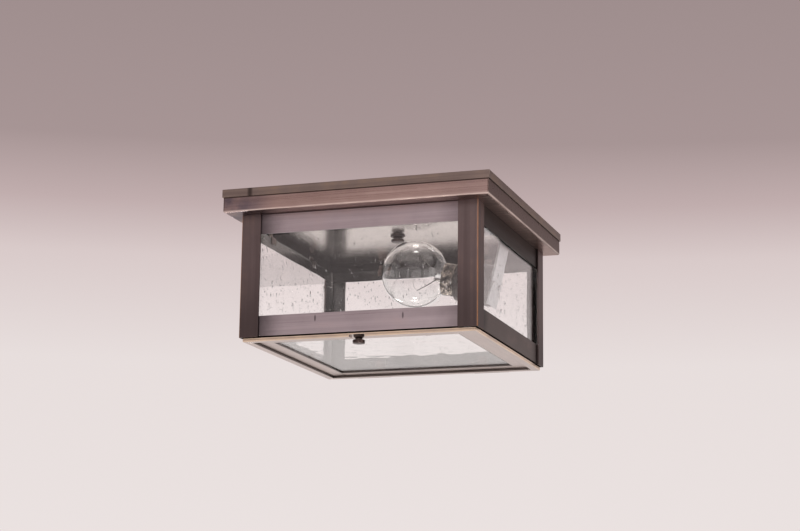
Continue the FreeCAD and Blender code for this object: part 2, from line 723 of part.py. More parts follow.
def lampholder_bracket():
    """Bent strip: foot under the reflector, leg down behind the lampholder."""
    front, back = LAMPHOLDER_BACK, LAMPHOLDER_BACK + BRACKET_WALL
    top, under = reflector_underside, reflector_underside - BRACKET_WALL
    outer = axis_point(back, above_axis_at(back, top))
    inner = axis_point(front, above_axis_at(front, under))
    low_back = axis_point(back, -BRACKET_BELOW_AXIS)
    low_front = axis_point(front, -BRACKET_BELOW_AXIS)
    foot_end = bracket_bend_x() - BRACKET_FOOT
    half = BRACKET_WIDTH / 2
    corners = [(foot_end, top), outer, low_back, low_front, inner, (foot_end, under)]
    shape = plate([(x, -half, z) for x, z in corners], (0, BRACKET_WIDTH, 0))

    def at(place, p, q):
        return all(abs(v.x - place[0]) < 1e-6 and abs(v.z - place[1]) < 1e-6 for v in (p, q))

    shape = rounded(shape, 2.0, lambda p, q: at(outer, p, q))
    shape = rounded(shape, 0.6, lambda p, q: at(inner, p, q))
    for x in bracket_screw_places():
        shape = shape.cut(rod(x, 0, under - 1, top + 1, SCREW_HOLE_RADIUS))
    for side in (-1, 1):
        hole = Part.makeCylinder(HOLDER_SCREW_RADIUS, 9.0, Vector(0, side * HOLDER_SCREW_SPACING / 2, front - 4.0),
                                 Vector(0, 0, 1))
        shape = shape.cut(on_bulb_axis(hole))
    return shape


def bracket_screws():
    """Two round-head screws up through bracket, reflector and pan."""
    under = reflector_underside - BRACKET_WALL
    screws = []
    for x in bracket_screw_places():
        head = turned([(0, under), (3.8, under), (3.6, under - 1.2), crown(3.6, under - 1.2, under - 2.6)])
        head.translate(Vector(x, 0, 0))
        shank = rod(x, 0, under - 0.5, pan_floor + LOCKNUT_HEIGHT + 1.0, SCREW_RADIUS)
        screws.append(head.fuse(shank))
    return Part.makeCompound(screws)


def bracket_nuts():
    """Nuts on the bracket screws, inside the canopy."""
    return Part.makeCompound([nut(x, 0, pan_floor, LOCKNUT_HEIGHT) for x in bracket_screw_places()])


def lampholder_screws():
    """Two small screws from behind the bracket into the lampholder."""
    back = LAMPHOLDER_BACK + BRACKET_WALL
    screws = []
    for side in (-1, 1):
        head = turned([(0, back), (2.9, back), (2.6, back + 0.9), (0, back + 1.3)])
        shank = Part.makeCylinder(HOLDER_SCREW_RADIUS, 5.6 + BRACKET_WALL,
                                  Vector(0, 0, back - 5.6 - BRACKET_WALL), Vector(0, 0, 1))
        screw = head.fuse(shank)
        screw.translate(Vector(0, side * HOLDER_SCREW_SPACING / 2, 0))
        screws.append(on_bulb_axis(Part.makeCompound([screw])))
    return Part.makeCompound([s for group in screws for s in group.Solids])


# ---------------------------------------------------------------- assembly

def build_canopy():
    keep("canopy_pan", canopy_pan())
    for quarters, side in enumerate(("front", "right", "back", "left")):
        keep("canopy_lip_" + side, lip_strip(quarters))
    keep("reflector_plate", reflector_plate())
    keep("lead_bushing", lead_bushing())
    keep("crossbar", crossbar())
    keep("centre_stud", centre_stud())
    keep("stud_locknut", nut(0, 0, -CROSSBAR_WALL - LOCKNUT_HEIGHT, LOCKNUT_HEIGHT))
    keep("ground_screw", ground_screw())


def build_frame():
    for quarters, corner in enumerate(("front_left", "front_right", "back_right", "back_left")):
        keep("post_" + corner, post(quarters))
    for quarters, side in enumerate(("front", "right", "back", "left")):
        keep("top_rail_" + side, rail(top_rail_low, quarters))
        keep("bottom_rail_" + side, rail(bottom_rail_low, quarters))
        keep("pane_" + side, pane(quarters))
    keep("pane_clips", pane_clips())
    keep("catch_tab", catch_tab())


def build_door():
    keep("door_strip_left", door_side_strip(-1))
    keep("door_strip_right", door_side_strip(1))
    keep("door_strip_front", door_end_strip(-1))
    keep("door_strip_back", door_end_strip(1))
    for quarters, side in enumerate(("front", "right", "back", "left")):
        keep("door_rim_" + side, door_rim(quarters))
    keep("door_glass", door_glass())
    keep("door_glass_clips", door_glass_clips())
    middles = (-HINGE_SPACING / 2, HINGE_SPACING / 2)
    keep("hinge_body_leaves", Part.makeCompound([hinge_body_leaf(x) for x in middles]))
    keep("hinge_door_leaves", Part.makeCompound([hinge_door_leaf(x) for x in middles]))
    keep("hinge_pins", Part.makeCompound([hinge_pin(x) for x in middles]))


def build_knobs():
    keep("door_washer", washer(0, door_knob_y, strip_underside - SEAT_GAP, DOOR_KNOB_HEAD_RADIUS - 0.5))
    keep("door_knob", door_knob())
    keep("centre_washer", washer(0, 0, reflector_underside - SEAT_GAP, CENTRE_KNOB_HEAD_RADIUS + 0.7))
    keep("centre_knob", centre_knob())


def build_lamp():
    keep("bulb_globe", on_bulb_axis(bulb_globe()))
    keep("bulb_stem", on_bulb_axis(bulb_stem()))
    keep("bulb_filament", on_bulb_axis(bulb_filament()))
    keep("bulb_cap", on_bulb_axis(bulb_cap()))
    keep("bulb_cap_insulator", on_bulb_axis(bulb_cap_insulator()))
    keep("bulb_contact", on_bulb_axis(bulb_contact()))
    keep("lampholder_body", on_bulb_axis(lampholder_body()))
    keep("lampholder_shell", on_bulb_axis(lampholder_shell()))
    keep("lampholder_contact", on_bulb_axis(lampholder_contact()))
    keep("lampholder_bracket", lampholder_bracket())
    keep("lampholder_screws", lampholder_screws())
    keep("bracket_screws", bracket_screws())
    keep("bracket_nuts", bracket_nuts())


def write_pieces():
    os.makedirs("parts", exist_ok=True)
    for name, shape in pieces.items():
        shape.exportStep(os.path.join("parts", name + ".step"))


build_canopy()
build_frame()
build_door()
build_knobs()
build_lamp()
write_pieces()
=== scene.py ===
import math
import random

import bmesh
import bpy
from mathutils import Matrix, Vector, noise


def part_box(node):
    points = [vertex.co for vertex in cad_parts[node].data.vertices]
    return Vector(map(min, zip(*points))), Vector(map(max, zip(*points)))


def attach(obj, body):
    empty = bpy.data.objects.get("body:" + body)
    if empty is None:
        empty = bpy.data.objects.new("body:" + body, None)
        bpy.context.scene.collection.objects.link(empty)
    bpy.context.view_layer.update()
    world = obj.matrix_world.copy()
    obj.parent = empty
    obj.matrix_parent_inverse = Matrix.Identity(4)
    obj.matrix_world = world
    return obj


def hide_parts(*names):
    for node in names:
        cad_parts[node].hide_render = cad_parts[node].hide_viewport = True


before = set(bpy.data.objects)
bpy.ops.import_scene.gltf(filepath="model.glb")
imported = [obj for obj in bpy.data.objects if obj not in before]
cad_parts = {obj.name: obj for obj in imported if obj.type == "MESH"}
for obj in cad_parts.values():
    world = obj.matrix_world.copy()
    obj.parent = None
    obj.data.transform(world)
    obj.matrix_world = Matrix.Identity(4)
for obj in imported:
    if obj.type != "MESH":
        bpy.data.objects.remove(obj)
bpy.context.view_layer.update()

# ---------------------------------------------------------------- camera
# The lantern is seen from its front right, from below, with a long lens. The place and the turn come from
# the edges of the canopy and the cage in the photograph, which is 800 pixels wide.

photo_width = 800
focal_pixels = 1911.45
centre_shift_pixels = (3.23, 0.42)

camera_data = bpy.data.cameras.new("camera")
camera_data.sensor_width = 36.0
camera_data.lens = focal_pixels * camera_data.sensor_width / photo_width
camera_data.shift_x = -centre_shift_pixels[0] / photo_width
camera_data.shift_y = centre_shift_pixels[1] / photo_width
camera_data.clip_end = 50.0
camera = bpy.data.objects.new("camera", camera_data)
camera.location = (0.4905, -1.4236, -0.3789)
camera.rotation_euler = (
    Matrix.Rotation(math.radians(18.850), 3, "Z")
    @ Matrix.Rotation(math.radians(90 + 12.542), 3, "X")
    @ Matrix.Rotation(math.radians(0.699), 3, "Z")
).to_euler()
bpy.context.collection.objects.link(camera)
bpy.context.scene.camera = camera
bpy.context.scene.view_settings.view_transform = "Standard"

# ---------------------------------------------------------------- surroundings
# A plain studio: pale grey above that turns to near white below, seen by the camera and in glass and metal,
# and an even soft light from all round for everything else.


class Wire:
    """One socket of a node tree. Sums and products of wires and numbers add Math nodes to the tree."""

    def __init__(self, tree, socket):
        self.tree = tree
        self.socket = socket

    def node(self, kind, settings=None, inputs=None, output=0):
        """Adds any other node: its settings first, then the values or the links of its sockets."""
        made = self.tree.nodes.new("ShaderNode" + kind)
        for name, value in (settings or {}).items():
            if name == "stops":
                ramp = made.color_ramp.elements
                while len(ramp) < len(value):
                    ramp.new(1.0)
                for stop, (position, color) in zip(ramp, value):
                    stop.position = position
                    stop.color = (*color, 1.0)
            else:
                setattr(made, name, value)
        for key, value in (inputs or {}).items():
            if isinstance(value, Wire):
                self.tree.links.new(value.socket, made.inputs[key])
            else:
                made.inputs[key].default_value = value
        return Wire(self.tree, made.outputs[output]) if len(made.outputs) else None

    def math(self, operation, *terms):
        return self.node("Math", {"operation": operation}, dict(enumerate(terms)))

    def __add__(self, other):
        return self.math("ADD", self, other)

    def __radd__(self, other):
        return self.math("ADD", other, self)

    def __sub__(self, other):
        return self.math("SUBTRACT", self, other)

    def __rsub__(self, other):
        return self.math("SUBTRACT", other, self)

    def __mul__(self, other):
        return self.math("MULTIPLY", self, other)

    def __rmul__(self, other):
        return self.math("MULTIPLY", other, self)

    def clip(self):
        """The number held between 0 and 1."""
        return self.node("Clamp", {}, {"Value": self})

    def size(self):
        """The number without its sign."""
        return self.math("ABSOLUTE", self)

    def greater(self, other):
        return self.math("MAXIMUM", self, other)

    def lesser(self, other):
        return self.math("MINIMUM", self, other)

    def between(self, low, high):
        """0 at low, 1 at high, smooth in between."""
        return self.node("MapRange", {"interpolation_type": "SMOOTHSTEP"}, {
            "Value": self, "From Min": low, "From Max": high})

    def mixed(self, first, second):
        """The colour `first` where this mask is 0 and `second` where it is 1."""
        pair = [(*c, 1.0) if isinstance(c, tuple) else c for c in (first, second)]
        return self.node("Mix", {"data_type": "RGBA"}, {0: self, 6: pair[0], 7: pair[1]}, 2)


def empty_tree(owner):
    """Clears an owner's node tree and gives a wire to start from."""
    owner.use_nodes = True
    owner.node_tree.nodes.clear()
    return owner.node_tree


backdrop_foot = -0.05
backdrop_rise = 0.45
backdrop_tones = [
    (0.0, (0.86, 0.80, 0.79)),
    (0.48, (0.80, 0.73, 0.72)),
    (0.60, (0.69, 0.59, 0.585)),
    (0.66, (0.53, 0.42, 0.42)),
    (0.73, (0.385, 0.30, 0.30)),
    (1.0, (0.318, 0.249, 0.249)),
]
glow_behind = 1.16

world = bpy.data.worlds.new("studio")
bpy.context.scene.world = world
tree = empty_tree(world)
start = Wire(tree, None)
direction = start.node("TexCoord")
height = direction.node("SeparateXYZ", {}, {0: Wire(tree, direction.socket.node.outputs["Generated"])}, 2)
# The backdrop turns from near white to grey over a narrow band near the canopy's height.
backdrop = height.node("ValToRGB", {"stops": backdrop_tones}, {
    0: (height - backdrop_foot) * (1 / backdrop_rise)})
seen = start.node("LightPath")
rays = ("Is Camera Ray", "Is Glossy Ray", "Is Transmission Ray")
seen_by = [Wire(tree, seen.socket.node.outputs[ray]) for ray in rays]
# Behind the lantern the backdrop is lit more strongly, which shows through its glass.
lit = backdrop.node("Mix", {"data_type": "RGBA", "blend_type": "MULTIPLY"}, {
    0: seen_by[2], 6: backdrop, 7: (glow_behind, glow_behind, glow_behind, 1.0)}, 2)
shown = start.node("Background", {}, {"Color": lit, "Strength": 1.0})
plain = start.node("Background", {}, {"Color": (0.90, 0.87, 0.86, 1.0), "Strength": 1.0})
blend = start.node("MixShader", {}, {0: (seen_by[0] + seen_by[1] + seen_by[2]).clip(), 1: plain, 2: shown})
blend.node("OutputWorld", {}, {"Surface": blend})

# ---------------------------------------------------------------- floor
# A pale studio floor well below the lantern, which hangs over it.

floor_level = -0.95
floor_half = 6.0

shape = bmesh.new()
bmesh.ops.create_grid(shape, x_segments=1, y_segments=1, size=floor_half)
bmesh.ops.translate(shape, vec=(0, 0, floor_level), verts=shape.verts)
mesh = bpy.data.meshes.new("studio_floor")
shape.to_mesh(mesh)
shape.free()
studio_floor = bpy.data.objects.new("studio_floor", mesh)
bpy.context.collection.objects.link(studio_floor)
material = bpy.data.materials.new("studio_floor")
tree = empty_tree(material)
start = Wire(tree, None)
paint = start.node("BsdfPrincipled", {}, {"Base Color": (0.88, 0.84, 0.83, 1.0), "Roughness": 0.9})
paint.node("OutputMaterial", {}, {"Surface": paint})
mesh.materials.append(material)

# ---------------------------------------------------------------- lamps
# Two large soft lamps, one high in front and one on the right, and two small ones that show as the glints on
# the globe: one straight below and a narrow one behind on the left.

lamp_color = (1.0, 0.97, 0.95)
middle_of_cage = Vector((0.0, 0.0, -0.06))


def soft_lamp(name, place, width, height, watts):
    """A panel of light that faces the middle of the cage."""
    data = bpy.data.lights.new(name, "AREA")
    data.shape = "RECTANGLE"
    data.size = width
    data.size_y = height
    data.energy = watts
    data.color = lamp_color
    lamp = bpy.data.objects.new(name, data)
    lamp.location = place
    lamp.rotation_euler = (middle_of_cage - Vector(place)).to_track_quat("-Z", "Y").to_euler()
    bpy.context.collection.objects.link(lamp)


soft_lamp("front_lamp", (0.30, -2.0, 0.95), 0.7, 0.6, 9.0)
soft_lamp("right_lamp", (2.1, -0.4, 0.1), 0.9, 1.4, 4.0)
soft_lamp("low_lamp", (-0.05, 0.15, -0.88), 0.14, 0.10, 1.6)
soft_lamp("back_left_lamp", (-0.90, 0.95, -0.76), 0.10, 0.34, 1.6)

# ---------------------------------------------------------------- canopy pan
# The pan is folded from one brass sheet, open towards the ceiling, brushed along its sides and darkened to
# an antique brown. A thin pale line is painted along its bottom bend as the highlight the bend catches, and
# painted shade darkens its left and right faces and the joint under the lip.

pan_sheet = 0.0010
pan_bend = 0.0016
pan_corner = 0.0005
heat_blue = (0.28, 0.32, 0.42)
shade_and_stain_share = 0.35
# Near-black for the inside faces: dark patina, and painted shade for the dark inside of the cage.
inside_patina_and_shade = (0.022, 0.019, 0.019, 1.0)


def new_material(name):
    """An empty material and a wire with the place on the object, in metres."""
    made = bpy.data.materials.new(name)
    node_tree = empty_tree(made)
    coordinates = node_tree.nodes.new("ShaderNodeTexCoord")
    return made, Wire(node_tree, coordinates.outputs["Object"])


def show(made, shader):
    """Links the finished shader to the material's output."""
    shader.node("OutputMaterial", {}, {"Surface": shader})
    return made


def grain(place, stretch, detail=3.0):
    """Noise from 0 to 1 whose grains measure 1/stretch metres, along all axes or along each."""
    if not isinstance(stretch, tuple):
        stretch = (stretch, stretch, stretch)
    mapped = place.node("Mapping", {}, {"Vector": place, "Scale": stretch})
    return place.node("TexNoise", {}, {"Vector": mapped, "Scale": 1.0, "Detail": detail, "Roughness": 0.6})


def brushed(run, along, across):
    """Stretch values for grains that run along one axis."""
    return tuple(along if axis == run else across for axis in range(3))


def axis_of(place, axis):
    """How far a point lies along one axis, in metres."""
    return place.node("SeparateXYZ", {}, {0: place}, axis)


def far_out(place):
    """The larger of |x| and |y|: distance from the lantern's middle, measured square."""
    return axis_of(place, 0).size().greater(axis_of(place, 1).size())


def far_along(place):
    """The smaller of |x| and |y|: on a side face, how far a point lies from that face's middle."""
    return axis_of(place, 0).size().lesser(axis_of(place, 1).size())


def aged_brass(name, run, dark, light, copper=(0.30, 0.155, 0.085), wear_and_highlight=None, wear_and_highlight_amount=0.8, rough=0.34,
               stain_and_shade=None, tint=None, inner=None, warm_amount=0.30, glance=0.67):
    """Brushed brass under a dark patina: tonal bands and fine scratches along `run`, with cloudy patches.
    Three masks say where it is bare copper-gold metal (rubbed through, and painted highlights), nearly black
    (stains, and painted shade) or turned blue by heat (`tint`). Nearer the middle than `inner` it is a dull
    near-black: dark patina, and painted shade for the dark inside of the cage. `glance` dims it at grazing
    angles."""
    made, place = new_material(name)
    bands = grain(place, brushed(run, 5.0, 260.0), detail=2.0)
    scratches = grain(place, brushed(run, 14.0, 2600.0), detail=2.0)
    clouds = grain(place, 38.0, detail=4.0)
    tone = (bands * 0.75 + scratches * 0.35 + clouds * 0.5 - 0.30).clip()
    color = tone.mixed(dark, light)
    warm = clouds.between(0.45, 0.75) * bands.between(0.35, 0.7) * warm_amount
    color = warm.mixed(color, copper)
    if tint:
        bluish = tuple(share * part for share, part in zip(heat_blue, light))
        color = (tint(place) * clouds.between(0.25, 0.6)).mixed(color, bluish)
    # Darker places: real stains, and painted shade where shade falls.
    if stain_and_shade:
        color = stain_and_shade(place).mixed(color, tuple(shade_and_stain_share * part for part in dark))
    # Copper-gold places: real rubbing, and painted highlights.
    if wear_and_highlight:
        rubbed_and_highlit = wear_and_highlight(place) * (scratches * 0.5 + clouds * 0.9).between(0.25, 0.85) * wear_and_highlight_amount
        color = rubbed_and_highlit.mixed(color, copper)
    roughness = rough + (bands - 0.5) * 0.16 + (scratches - 0.5) * 0.14
    bump = place.node("Bump", {}, {
        "Strength": 0.10, "Distance": 0.0002, "Height": scratches * 0.6 + clouds * 0.4})
    metal = place.node("BsdfPrincipled", {}, {
        "Base Color": color, "Metallic": 1.0, "Roughness": roughness.clip(), "Normal": bump,
        "Specular Tint": (glance, glance, glance, 1.0)})
    # Inside faces turn a dull near-black: dark patina, and painted shade for the dark inside of the cage.
    if inner:
        inside = 1.0 - far_out(place).between(inner - 0.0003, inner)
        dull = place.node("BsdfDiffuse", {}, {"Color": inside_patina_and_shade})
        metal = place.node("MixShader", {}, {0: inside, 1: metal, 2: dull})
    return show(made, metal)


def finished_mesh(name, shape):
    """Closes a bmesh: doubles merged, faces outwards, one object at the origin."""
    bmesh.ops.remove_doubles(shape, verts=shape.verts, dist=1e-7)
    bmesh.ops.recalc_face_normals(shape, faces=shape.faces)
    made = bpy.data.meshes.new(name)
    shape.to_mesh(made)
    shape.free()
    piece = bpy.data.objects.new(name, made)
    bpy.context.collection.objects.link(piece)
    return piece


def smooth_faces(piece, sharp_degrees=38.0):
    """Smooth shading that keeps flat faces flat and edges above an angle sharp."""
    for polygon in piece.data.polygons:
        polygon.use_smooth = True
    piece.data.set_sharp_from_angle(angle=math.radians(sharp_degrees))
    flat = piece.modifiers.new("flat_faces", "WEIGHTED_NORMAL")
    flat.keep_sharp = True


def dress(piece, finish, body, slot, *nodes):
    """Gives a piece its finish and its body, and hides the CAD nodes it stands for."""
    piece.data.materials.append(finish)
    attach(piece, body)
    if nodes:
        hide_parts(*nodes)


def boxed(shape, low, high):
    """A cuboid between two corners."""
    made = bmesh.ops.create_cube(shape, size=1.0)
    bmesh.ops.scale(shape, vec=Vector(high) - Vector(low), verts=made["verts"])
    bmesh.ops.translate(shape, vec=(Vector(low) + Vector(high)) / 2, verts=made["verts"])
    return made["verts"]


def round_edges(shape, edges, width, segments):
    """A round bevel along some edges."""
    bmesh.ops.bevel(shape, geom=edges, offset=width, segments=segments, profile=0.5,
                    affect="EDGES", material=-1, clamp_overlap=True)


low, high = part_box("canopy_pan")
shape = bmesh.new()
boxed(shape, low, high)
top = [f for f in shape.faces if f.normal.z > 0.9]
bmesh.ops.delete(shape, geom=top, context="FACES_ONLY")
edges = [e for e in shape.edges if all(abs(v.co.z - low.z) < 1e-6 for v in e.verts)]
round_edges(shape, edges, pan_bend, 5)
edges = [e for e in shape.edges if abs(e.verts[0].co.z - e.verts[1].co.z) > 0.01]
round_edges(shape, edges, pan_corner, 2)
bmesh.ops.recalc_face_normals(shape, faces=shape.faces)
canopy_pan = finished_mesh("canopy_pan_folded", shape)
sheet = canopy_pan.modifiers.new("sheet", "SOLIDIFY")
sheet.thickness = pan_sheet
sheet.offset = -1.0
sheet.use_even_offset = True
smooth_faces(canopy_pan)
pan_half = high.x
pan_bottom = low.z
lip_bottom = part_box("canopy_lip_front")[0].z


def pan_bend_highlight(place):
    """The bottom bend, where a thin pale line is painted on as its highlight."""
    up = axis_of(place, 2) - pan_bottom
    return (1.0 - up.between(0.0006, 0.0018)) * up.between(0.0001, 0.0004)


def pan_side_and_lip_shade(place):
    """Painted shade: the left and right faces darker, and a black line in the joint under the lip, where the
    lip's shadow falls.
    """
    sides = axis_of(place, 0).size().between(pan_half - 0.0012, pan_half - 0.0006) * 0.85
    return sides.greater(axis_of(place, 2).between(lip_bottom - 0.0011, lip_bottom - 0.0005))


def pan_ends(place):
    """Near the corners, most of all on the left, where the soldering heat has turned the patina blue."""
    return far_along(place).between(0.060, 0.090) * (0.55 - axis_of(place, 0) * 4.0).clip()


pan_brass = aged_brass("canopy_brass", 0, (0.33, 0.23, 0.205), (0.58, 0.41, 0.37), copper=(0.70, 0.57, 0.52),
                       wear_and_highlight=pan_bend_highlight, wear_and_highlight_amount=0.9, rough=0.30, tint=pan_ends, stain_and_shade=pan_side_and_lip_shade)
dress(canopy_pan, pan_brass, "fixture", "antique_brass", "canopy_pan")

# ---------------------------------------------------------------- canopy lip
# A flat brass strip runs round the pan's top edge. It is soldered on in four mitred lengths and stands proud
# of the pan. The soldering has left one small dark mark near the left end of the front length.

lip_edge = 0.00022
mark_place = -0.0847


def mitred_strip(node, edge):
    """One side of a mitred square frame, cut from its node's own box with 45 degree ends."""
    low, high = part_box(node)
    size = high - low
    across = 0 if size.x < size.y else 1
    along = 1 - across
    middle = (low + high) / 2
    outward = 1.0 if middle[across] > 0 else -1.0
    shape = bmesh.new()
    corners = boxed(shape, low, high)
    for corner in corners:
        if (corner.co[across] - middle[across]) * outward < 0:
            end = 1.0 if corner.co[along] > 0 else -1.0
            corner.co[along] -= end * size[across]
    round_edges(shape, shape.edges[:], edge, 2)
    return shape


def lip_mark(place):
    return (1.0 - (axis_of(place, 0) - mark_place).size().between(0.0006, 0.0030)) * 0.8


lip_brass = {}
for run in (0, 1):
    lip_brass[run] = aged_brass("lip_brass_" + "xy"[run], run, (0.125, 0.092, 0.086), (0.35, 0.275, 0.24),
                                copper=(0.38, 0.25, 0.15), warm_amount=0.6,
                                stain_and_shade=lip_mark if run == 0 else None)
for side in ("front", "right", "back", "left"):
    node = "canopy_lip_" + side
    lip = finished_mesh(node + "_strip", mitred_strip(node, lip_edge))
    smooth_faces(lip)
    dress(lip, lip_brass[0 if side in ("front", "back") else 1], "fixture", "antique_brass", node)

# ---------------------------------------------------------------- inner ceiling
# A satin plate closes the cage at the top. It mirrors the rails, the knob and the light below it softly.

plate_edge = 0.0002

low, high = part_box("reflector_plate")
shape = bmesh.new()
boxed(shape, low, high)
round_edges(shape, shape.edges[:], plate_edge, 2)
plate = finished_mesh("inner_ceiling_plate", shape)
smooth_faces(plate)
satin, place = new_material("satin_plate")
clouds = grain(place, 22.0, detail=4.0)
scratches = grain(place, (30.0, 1400.0, 30.0), detail=2.0)
color = (clouds * 0.7 + scratches * 0.3).between(0.3, 0.75).mixed((0.73, 0.67, 0.64), (0.87, 0.81, 0.78))
bump = place.node("Bump", {}, {"Strength": 0.06, "Distance": 0.0002, "Height": scratches})
metal = place.node("BsdfPrincipled", {}, {
    "Base Color": color, "Metallic": 1.0, "Roughness": 0.15 + clouds * 0.12, "Normal": bump})
dress(plate, show(satin, metal), "fixture", "reflector", "reflector_plate")

# ---------------------------------------------------------------- posts
# Four brass angles stand at the corners, brushed upwards. Handling has worn their outer edge to copper.

post_wall = 0.0015
post_edge = 0.0011
post_small_edge = 0.00015
post_foot_fades = (-0.115, -0.045)
same_place = 1e-6
cage_half = -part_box("post_front_left")[0].x


def corner_wear(place):
    """The outer corner of each angle, within a millimetre or so of the edge."""
    short_of_corner = 2 * cage_half - axis_of(place, 0).size() - axis_of(place, 1).size()
    return 1.0 - short_of_corner.between(0.0004, 0.0011)


def angle_profile(low, high, wall, x_side, y_side):
    """The six corners of an angle's section inside a box, from the sides its outer faces look to."""
    x_out, x_in = (high.x, low.x) if x_side > 0 else (low.x, high.x)
    y_out, y_in = (high.y, low.y) if y_side > 0 else (low.y, high.y)
    x_wall, y_wall = x_out - x_side * wall, y_out - y_side * wall
    return [(x_out, y_out), (x_in, y_out), (x_in, y_wall), (x_wall, y_wall), (x_wall, y_in), (x_out, y_in)]


def post_foot(place):
    """The lower part of a post, darker towards the bottom."""
    return (1.0 - axis_of(place, 2).between(*post_foot_fades)) * 0.55


post_brass = aged_brass("post_brass", 2, (0.112, 0.083, 0.082), (0.195, 0.148, 0.147),
                        copper=(0.50, 0.25, 0.12), wear_and_highlight=corner_wear, wear_and_highlight_amount=1.0, rough=0.38,
                        stain_and_shade=post_foot, inner=cage_half - 0.0012, warm_amount=0.15)
for y_side, depth in ((-1, "front"), (1, "back")):
    for x_side, side in ((-1, "left"), (1, "right")):
        node = f"post_{depth}_{side}"
        low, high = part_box(node)
        shape = bmesh.new()
        profile = angle_profile(low, high, post_wall, x_side, y_side)
        section = [shape.verts.new((x, y, low.z)) for x, y in profile]
        face = shape.faces.new(section)
        pushed = bmesh.ops.extrude_face_region(shape, geom=[face])
        moved = [v for v in pushed["geom"] if isinstance(v, bmesh.types.BMVert)]
        bmesh.ops.translate(shape, vec=(0, 0, high.z - low.z), verts=moved)
        outer = [e for e in shape.edges if all(
            abs(abs(v.co.x) - cage_half) < same_place and abs(abs(v.co.y) - cage_half) < same_place
            for v in e.verts)]
        round_edges(shape, outer, post_edge, 5)
        rest = [e for e in shape.edges if e.calc_face_angle(0.0) > 1.0]
        round_edges(shape, rest, post_small_edge, 2)
        post = finished_mesh(node + "_angle", shape)
        smooth_faces(post)
        dress(post, post_brass, "fixture", "antique_brass", node)

# ---------------------------------------------------------------- rails
# Flat brass strips join the posts at the top and the bottom, brushed along their length and greyer than the
# posts. The patina has run in two short drips on the front one. Painted shade darkens them near both ends,
# most on the left, and a painted shadow lies along the top edge of the top rails, under the canopy, and over
# the upper part of the side rails. The bottom ones have a narrow ledge on their inside.

rail_edge = 0.0003
ledge_depth = 0.0046
ledge_wall = 0.0008
ledge_root = 0.0003
end_shade_reach = (0.064, 0.088)
shade_under_canopy = (-0.06, -0.03)
drip_places = ((0.0368, -0.1041), (-0.0337, -0.1028))
drip_size = (0.0009, 0.02, 0.0030)
rail_outside = -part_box("bottom_rail_front")[0].y
rail_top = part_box("top_rail_front")[1].z


def bar(name, node, edge, segments=2, ledge=0.0):
    """A strip with softly rounded edges, from its node's own box. A ledge is a leg that turns inwards at its
    lower edge."""
    low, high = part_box(node)
    shape = bmesh.new()
    boxed(shape, low, high)
    if ledge:
        middle = (low + high) / 2
        across = 0 if abs(middle.x) > abs(middle.y) else 1
        inward = -1.0 if middle[across] > 0 else 1.0
        leg_low, leg_high = low.copy(), high.copy()
        leg_high.z = low.z + ledge_wall
        wall = low[across] if inward < 0 else high[across]
        reach = wall + inward * ledge
        root = wall - inward * ledge_root
        leg_low[across], leg_high[across] = min(root, reach), max(root, reach)
        boxed(shape, leg_low, leg_high)
    round_edges(shape, shape.edges[:], edge, segments)
    piece = finished_mesh(name, shape)
    smooth_faces(piece)
    return piece


def rail_stain_and_shade(run):
    """Painted shade near both ends of a rail, stronger on the left, and a black painted shadow along its top
    edge under the canopy. Rails along y get painted shadow high up, and the one in front has its drips."""
    def mask(place):
        along = axis_of(place, run)
        level = axis_of(place, 2)
        ragged = grain(place, 60.0) * 0.012
        darker_places = (along.size() + ragged).between(*end_shade_reach) * (0.72 - along * 3.0)
        darker_places = darker_places.greater(level.between(rail_top - 0.0010, rail_top - 0.0004))
        if run == 1:
            return darker_places.greater(level.between(*shade_under_canopy) * 0.9)
        for x, z in drip_places:
            spot = place.node("Mapping", {"vector_type": "TEXTURE"}, {
                "Vector": place, "Location": (x, -rail_outside, z), "Scale": drip_size})
            length = spot.node("VectorMath", {"operation": "LENGTH"}, {0: spot}, 1)
            darker_places = darker_places.greater((1.0 - length.between(0.5, 1.1)) * 0.8)
        return darker_places
    return mask


# The rails along y get a far darker copy of the front rails' brass: painted shade for the sides.
rail_tones = {
    0: ((0.30, 0.25, 0.265), (0.60, 0.51, 0.54)),
    1: ((0.085, 0.066, 0.062), (0.160, 0.126, 0.118)),
}
rail_brass = {}
for run, (dark, light) in rail_tones.items():
    rail_brass[run] = aged_brass("rail_brass_" + "xy"[run], run, dark, light, copper=(0.42, 0.29, 0.27),
                                 stain_and_shade=rail_stain_and_shade(run), rough=0.33, inner=rail_outside - 0.0008)
for level in ("top", "bottom"):
    for side in ("front", "right", "back", "left"):
        node = f"{level}_rail_{side}"
        rail = bar(node + "_strip", node, rail_edge, ledge=ledge_depth if level == "bottom" else 0.0)
        dress(rail, rail_brass[0 if side in ("front", "back") else 1], "fixture", "antique_brass", node)

# ---------------------------------------------------------------- side glass
# Seedy glass: 3 mm panes with slightly wavy faces and small air bubbles, drawn out upwards.

wave_height = 0.000016
wave_length = 0.0085
pane_cell = 0.002
bubble_count = 300
bubble_radius = (0.00017, 0.00047)
bubble_stretch = 5.0
bubble_margin = 0.009
bubble_depth = 0.0008
glass_index = 1.5
pane_tint = (0.985, 0.988, 0.986)


def clear_glass(name, tint):
    """Solid glass that lets lamps shine through."""
    made, place = new_material(name)
    haze = grain(place, 90.0, detail=2.0)
    bump = place.node("Bump", {}, {"Strength": 0.02, "Distance": 0.0001, "Height": haze})
    glass = place.node("BsdfPrincipled", {}, {
        "Base Color": (*tint, 1.0), "Roughness": 0.0, "IOR": glass_index, "Transmission Weight": 1.0,
        "Normal": bump})
    shadow = place.node("LightPath", output=1)
    through = place.node("BsdfTransparent", {}, {"Color": (*tint, 1.0)})
    return show(made, place.node("MixShader", {}, {0: shadow, 1: glass, 2: through}))


